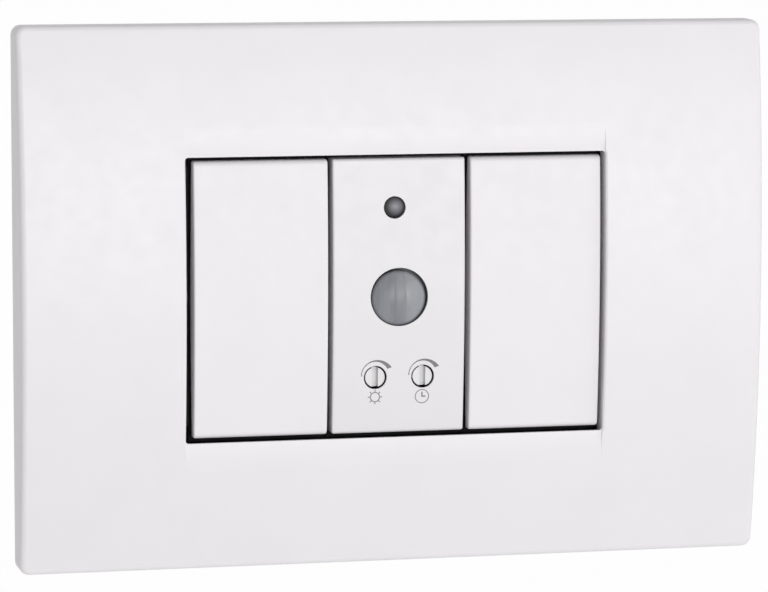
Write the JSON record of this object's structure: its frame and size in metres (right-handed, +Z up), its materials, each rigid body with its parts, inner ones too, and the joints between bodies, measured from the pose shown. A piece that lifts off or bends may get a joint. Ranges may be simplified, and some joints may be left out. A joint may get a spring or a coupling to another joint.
{
  "type": "motion sensor light switch",
  "caption": "White wall plate with a passive infrared motion sensor module between rocker switch modules, on a screw-fixed mounting frame.",
  "frame": {"origin": "midway between the two box screws, on the wall plane behind the mounting frame", "axes": "+X along the wall plate's long side to the viewer's right, +Y into the wall, +Z up; the front faces -Y"},
  "size_m": [0.122, 0.0416, 0.0872],
  "materials": {
    "plate_plastic": "fine satin",
    "key_plastic": "satin gloss",
    "fascia_plastic": "fine satin",
    "frame_plastic": "moulded, matt",
    "housing_plastic": "moulded, matt",
    "base_plastic": "moulded, matt",
    "carrier_plastic": "moulded, satin",
    "plunger_plastic": "smooth acetal",
    "spring_steel": "drawn wire",
    "contact_copper": "rolled copper alloy",
    "contact_silver": "silver rivet",
    "terminal_brass": "machined brass",
    "zinc_plated_steel": "bright zinc plate",
    "lens_plastic": "milky translucent polyethylene",
    "smoked_plastic": "smoked, glossy",
    "clear_resin": "clear epoxy",
    "nickel_plated_steel": "drawn, nickel plated",
    "filter_glass": "coated silicon",
    "board_laminate": "green solder mask",
    "chip_epoxy": "moulded epoxy",
    "trimmer_plastic": "dark moulded",
    "dial_plastic": "satin",
    "tinned_brass": "tinned",
    "relay_plastic": "moulded, satin",
    "enamelled_copper": "enamelled wire",
    "relay_iron": "plated soft iron",
    "capacitor_plastic": "moulded box",
    "capacitor_sleeve": "shrunk sleeve over aluminium",
    "varistor_coating": "dipped epoxy",
    "fuse_ceramic": "ceramic tube with plated caps"
  },
  "bodies": {
    "wall_unit": {"cover_plate": "plate_plastic", "mounting_frame": "frame_plastic", "box_screws": "zinc_plated_steel", "sensor_fascia": "fascia_plastic", "pir_lens": "lens_plastic", "light_window": "smoked_plastic", "light_sensor": "clear_resin", "infrared_sensor_can": "nickel_plated_steel", "infrared_filter": "filter_glass", "front_board": "board_laminate", "controller_chip": "chip_epoxy", "brightness_trimmer": "trimmer_plastic", "time_trimmer": "trimmer_plastic", "header_spacer": "chip_epoxy", "header_pins": "tinned_brass", "power_board": "board_laminate", "relay_case": "relay_plastic", "relay_coil": "enamelled_copper", "relay_yoke": "relay_iron", "film_capacitor": "capacitor_plastic", "electrolytic_capacitor": "capacitor_sleeve", "varistor": "varistor_coating", "fuse": "fuse_ceramic", "sensor_housing": "housing_plastic", "sensor_base": "base_plastic", "sensor_terminal_cages": "terminal_brass", "sensor_terminal_screws": "zinc_plated_steel", "left_switch_housing": "housing_plastic", "left_terminal_base": "base_plastic", "left_fixed_rivets": "contact_silver", "left_common_contact": "contact_copper", "left_upper_throw_contact": "contact_copper", "left_lower_throw_contact": "contact_copper", "left_terminal_cages": "terminal_brass", "left_terminal_screws": "zinc_plated_steel", "right_switch_housing": "housing_plastic", "right_terminal_base": "base_plastic", "right_fixed_rivets": "contact_silver", "right_common_contact": "contact_copper", "right_upper_throw_contact": "contact_copper", "right_lower_throw_contact": "contact_copper", "right_terminal_cages": "terminal_brass", "right_terminal_screws": "zinc_plated_steel"},
    "left_rocker": {"left_rocker_key": "key_plastic", "left_rocker_carrier": "carrier_plastic", "left_plunger": "plunger_plastic", "left_plunger_spring": "spring_steel"},
    "left_blade": {"left_contact_blade": "contact_copper", "left_blade_rivets": "contact_silver"},
    "right_rocker": {"right_rocker_key": "key_plastic", "right_rocker_carrier": "carrier_plastic", "right_plunger": "plunger_plastic", "right_plunger_spring": "spring_steel"},
    "right_blade": {"right_contact_blade": "contact_copper", "right_blade_rivets": "contact_silver"},
    "brightness_dial": {"brightness_dial": "dial_plastic"},
    "time_dial": {"time_dial": "dial_plastic"},
    "relay_armature": {"relay_armature": "relay_iron"}
  },
  "joints": [
    {"name": "left_rocker_tilt", "type": "hinge", "parent": "wall_unit", "child": "left_rocker", "pos_m": [-0.0223, -0.001, 0], "axis": [1, 0, 0], "range_deg": [-3.5, 3.5]},
    {"name": "left_blade_tilt", "type": "hinge", "parent": "wall_unit", "child": "left_blade", "pos_m": [-0.0223, 0.009, 0], "axis": [1, 0, 0], "range_deg": [-7, 7]},
    {"name": "right_rocker_tilt", "type": "hinge", "parent": "wall_unit", "child": "right_rocker", "pos_m": [0.0227, -0.001, 0], "axis": [1, 0, 0], "range_deg": [-3.5, 3.5]},
    {"name": "right_blade_tilt", "type": "hinge", "parent": "wall_unit", "child": "right_blade", "pos_m": [0.0227, 0.009, 0], "axis": [1, 0, 0], "range_deg": [-7, 7]},
    {"name": "brightness_dial_turn", "type": "hinge", "parent": "wall_unit", "child": "brightness_dial", "pos_m": [-0.00363, -0.0055, -0.01308], "axis": [0, -1, 0], "range_deg": [-105, 105]},
    {"name": "time_dial_turn", "type": "hinge", "parent": "wall_unit", "child": "time_dial", "pos_m": [0.00417, -0.0055, -0.01308], "axis": [0, -1, 0], "range_deg": [-105, 105]},
    {"name": "relay_armature_tilt", "type": "hinge", "parent": "wall_unit", "child": "relay_armature", "pos_m": [-0.0041, 0.0135, 0.0157], "axis": [-1, 0, 0], "range_deg": [0, 6], "stiffness_Nm_per_rad": 0.0003, "springref_deg": -14.32}
  ],
  "couplings": [
    {"joint": "left_blade_tilt", "follows": "left_rocker_tilt", "ratio": -2},
    {"joint": "right_blade_tilt", "follows": "right_rocker_tilt", "ratio": -2}
  ]
}
